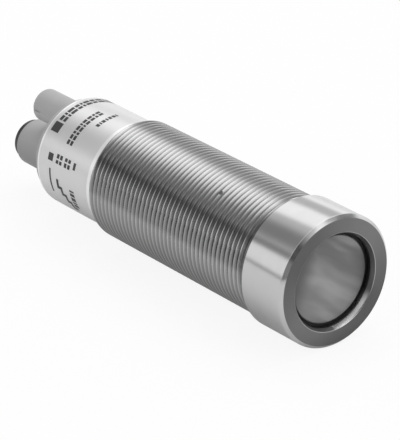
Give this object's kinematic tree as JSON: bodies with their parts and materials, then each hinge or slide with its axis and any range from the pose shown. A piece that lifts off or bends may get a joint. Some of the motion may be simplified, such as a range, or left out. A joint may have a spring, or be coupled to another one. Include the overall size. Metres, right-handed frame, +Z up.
{
  "type": "ultrasonic sensor",
  "caption": "Cylindrical ultrasonic distance sensor: threaded metal barrel, polished head ring round a recessed transducer, rear connector tower and removable plug.",
  "frame": {"origin": "centre of the front face of the head ring, on the barrel axis", "axes": "+X along the barrel axis, the way the sound leaves; +Z up, from the connector tower towards the removable plug"},
  "size_m": [0.1174, 0.032, 0.032],
  "materials": {
    "polished_steel": "turned and polished",
    "thread_steel": "turned thread, bright",
    "label_foil": "satin printed foil with plain marks",
    "membrane_foil": "satin foil-faced disc",
    "black_rubber": "matt",
    "damping_rubber": "matt, filled",
    "grey_plastic": "fine moulded texture",
    "carrier_plastic": "moulded",
    "black_plastic": "moulded, satin",
    "contact_gold": "gold-plated contact",
    "piezo_ceramic": "silvered ceramic",
    "matching_epoxy": "filled epoxy",
    "board_laminate": "solder-masked board",
    "ferrite": "sintered, dark grey",
    "winding_copper": "enamelled wire",
    "can_aluminium": "drawn can",
    "package_black": "moulded package with tinned leads",
    "chip_ceramic": "small chip parts",
    "lead_insulation": "insulated lead",
    "lamp_resin": "clear resin",
    "guide_resin": "clear light rod"
  },
  "bodies": {
    "housing": {"buffer_capacitor_1": "can_aluminium", "buffer_capacitor_2": "can_aluminium", "cap_seal": "black_rubber", "chip_components": "chip_ceramic", "circuit_board": "board_laminate", "connector_insert": "black_plastic", "contact_pin_1": "contact_gold", "contact_pin_2": "contact_gold", "contact_pin_3": "contact_gold", "contact_pin_4": "contact_gold", "contact_pin_5": "contact_gold", "crystal": "can_aluminium", "damping_block": "damping_rubber", "decoupling_ring": "black_rubber", "driver_transistor_1": "package_black", "driver_transistor_2": "package_black", "end_cap": "grey_plastic", "front_seal": "black_rubber", "head_ring": "polished_steel", "label_band": "label_foil", "light_guide_1": "guide_resin", "light_guide_2": "guide_resin", "matching_layer": "matching_epoxy", "membrane_cup": "membrane_foil", "microcontroller": "package_black", "piezo_disc": "piezo_ceramic", "piezo_lead_1": "lead_insulation", "piezo_lead_2": "lead_insulation", "receiver_amplifier": "package_black", "socket_pin_1": "contact_gold", "socket_pin_2": "contact_gold", "socket_pin_3": "contact_gold", "socket_pin_4": "contact_gold", "status_led_1": "lamp_resin", "status_led_2": "lamp_resin", "threaded_barrel": "thread_steel", "transducer_carrier": "carrier_plastic", "transformer_core": "ferrite", "transformer_winding": "winding_copper", "voltage_regulator": "package_black"},
    "teach_plug": {"teach_plug_cover": "grey_plastic", "teach_plug_core": "black_plastic", "plug_seal": "black_rubber", "temperature_probe": "lamp_resin", "plug_contact_1": "contact_gold", "plug_contact_2": "contact_gold", "plug_contact_3": "contact_gold", "plug_contact_4": "contact_gold"}
  },
  "joints": [
    {"name": "teach_plug_slide", "type": "slide", "parent": "housing", "child": "teach_plug", "axis": [-1, 0, 0], "range_m": [0, 0.01]}
  ]
}
